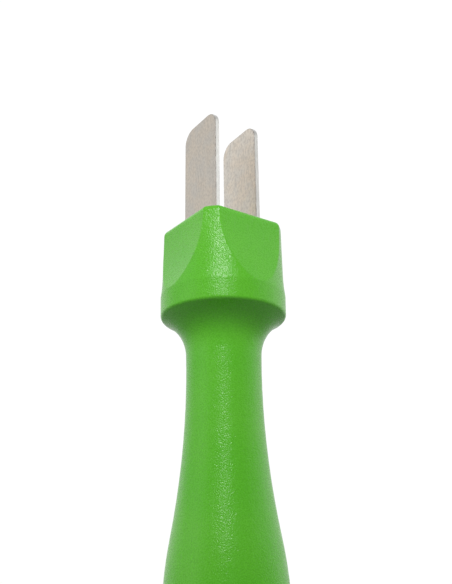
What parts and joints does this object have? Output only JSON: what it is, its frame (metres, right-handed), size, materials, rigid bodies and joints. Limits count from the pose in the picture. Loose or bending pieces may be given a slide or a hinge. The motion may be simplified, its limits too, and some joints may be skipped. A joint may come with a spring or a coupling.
{
  "type": "divot repair tool",
  "caption": "Hand tool with two flat steel prongs side by side on the four-sided head of a moulded handle, for lifting and closing marks in turf.",
  "frame": {"origin": "centre of the handle's flat butt, where the tool stands upright", "axes": "+Z along the tool's axis towards the prong tips; +X from the left prong to the right prong, square to their broad faces; +Y along the prongs' width, from their high edge to their low edge"},
  "size_m": [0.0304, 0.0304, 0.1408],
  "materials": {
    "green_plastic": "satin, fine moulded grain",
    "prong_steel": "satin stainless with fine lengthwise grain",
    "fastener_steel": "plain zinc-bright steel"
  },
  "bodies": {
    "root": {"handle": "green_plastic", "end_cap": "green_plastic", "prong_block": "green_plastic", "left_prong": "prong_steel", "right_prong": "prong_steel", "lower_pin": "fastener_steel", "upper_pin": "fastener_steel", "block_screw": "fastener_steel", "screw_washer": "fastener_steel"}
  },
  "joints": []
}
